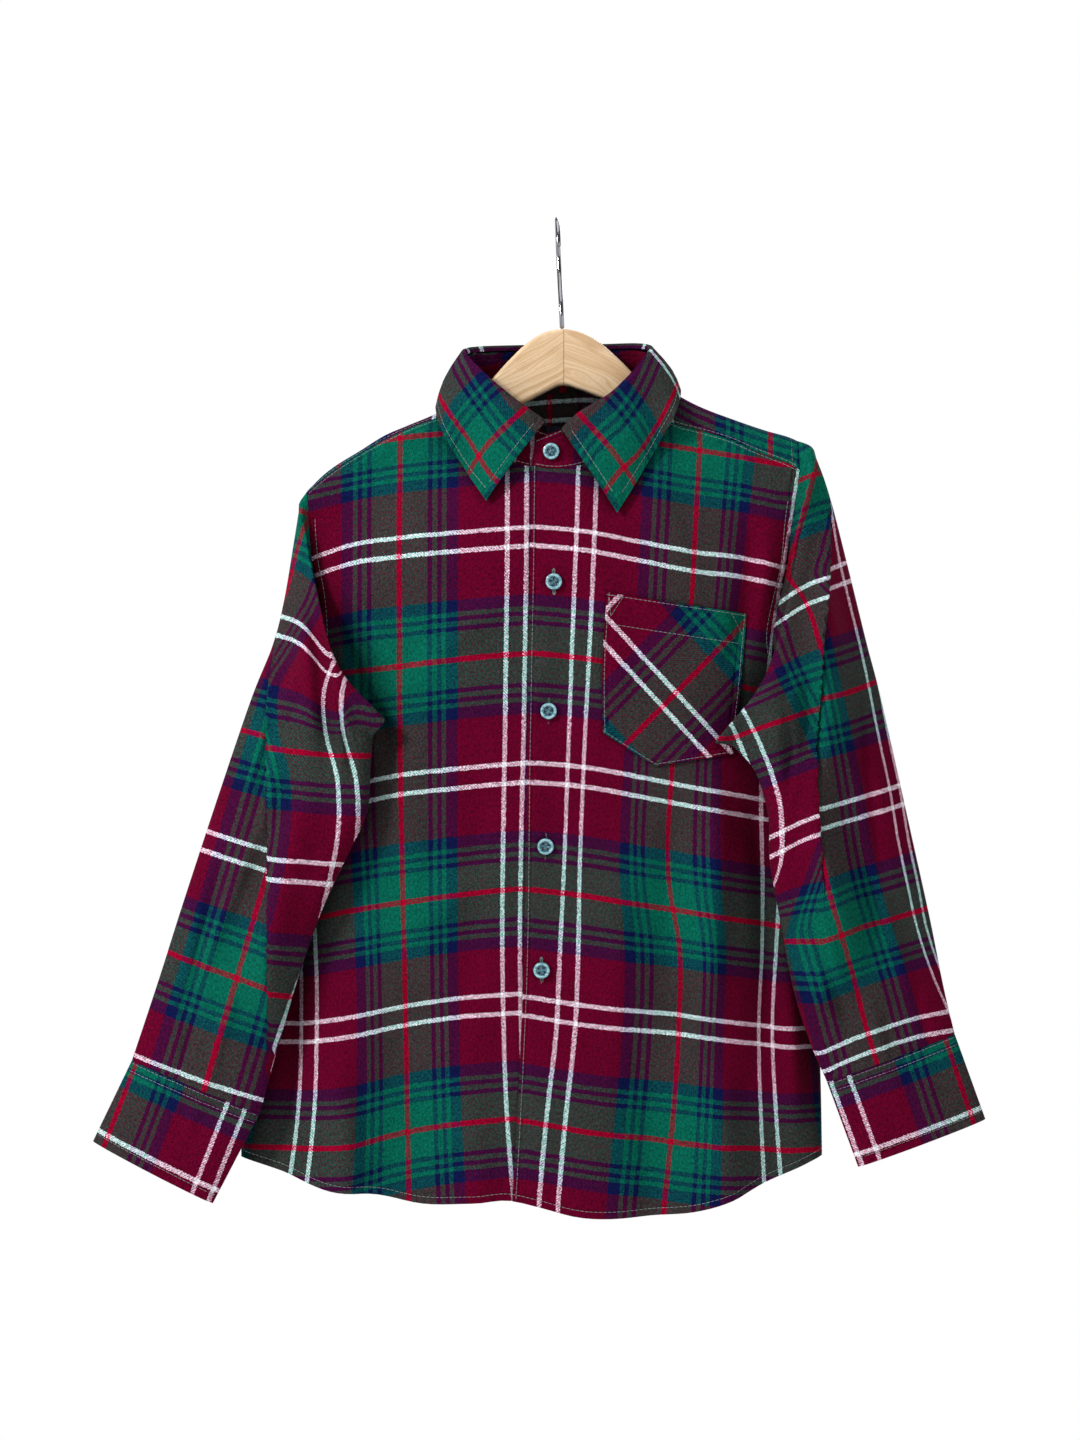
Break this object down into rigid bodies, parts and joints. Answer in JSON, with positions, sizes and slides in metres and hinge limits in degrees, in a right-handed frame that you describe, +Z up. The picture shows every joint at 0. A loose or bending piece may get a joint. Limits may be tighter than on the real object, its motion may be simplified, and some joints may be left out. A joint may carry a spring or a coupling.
{
  "type": "garment",
  "caption": "Child's tartan flannel button-up shirt with long sleeves and chest pocket, hanging on a flat wooden hanger with a wire hook.",
  "frame": {"origin": "underside of the hook's arc, where the rail or wall hook carries the hanger, in the middle of the wire's width", "axes": "+Z up, towards the hook's top; -Y towards the shirt's front; +X towards the wearer's left"},
  "size_m": [0.5959, 0.0869, 0.6705],
  "materials": {
    "flannel": "brushed twill, yarn-dyed tartan",
    "label": "plain satin weave, bare",
    "button": "pearly",
    "beech": "clear satin lacquer",
    "hook_wire": "polished"
  },
  "bodies": {
    "root": {"back": "flannel", "button_1": "button", "button_2": "button", "button_3": "button", "button_4": "button", "button_5": "button", "button_cuff_left": "button", "button_cuff_right": "button", "collar": "flannel", "collar_stand": "flannel", "cuff_left": "flannel", "cuff_right": "flannel", "front_left": "flannel", "front_right": "flannel", "hanger_body": "beech", "hanger_hook": "hook_wire", "neck_label": "label", "pocket": "flannel", "sleeve_left": "flannel", "sleeve_right": "flannel", "yoke": "flannel"}
  },
  "joints": []
}
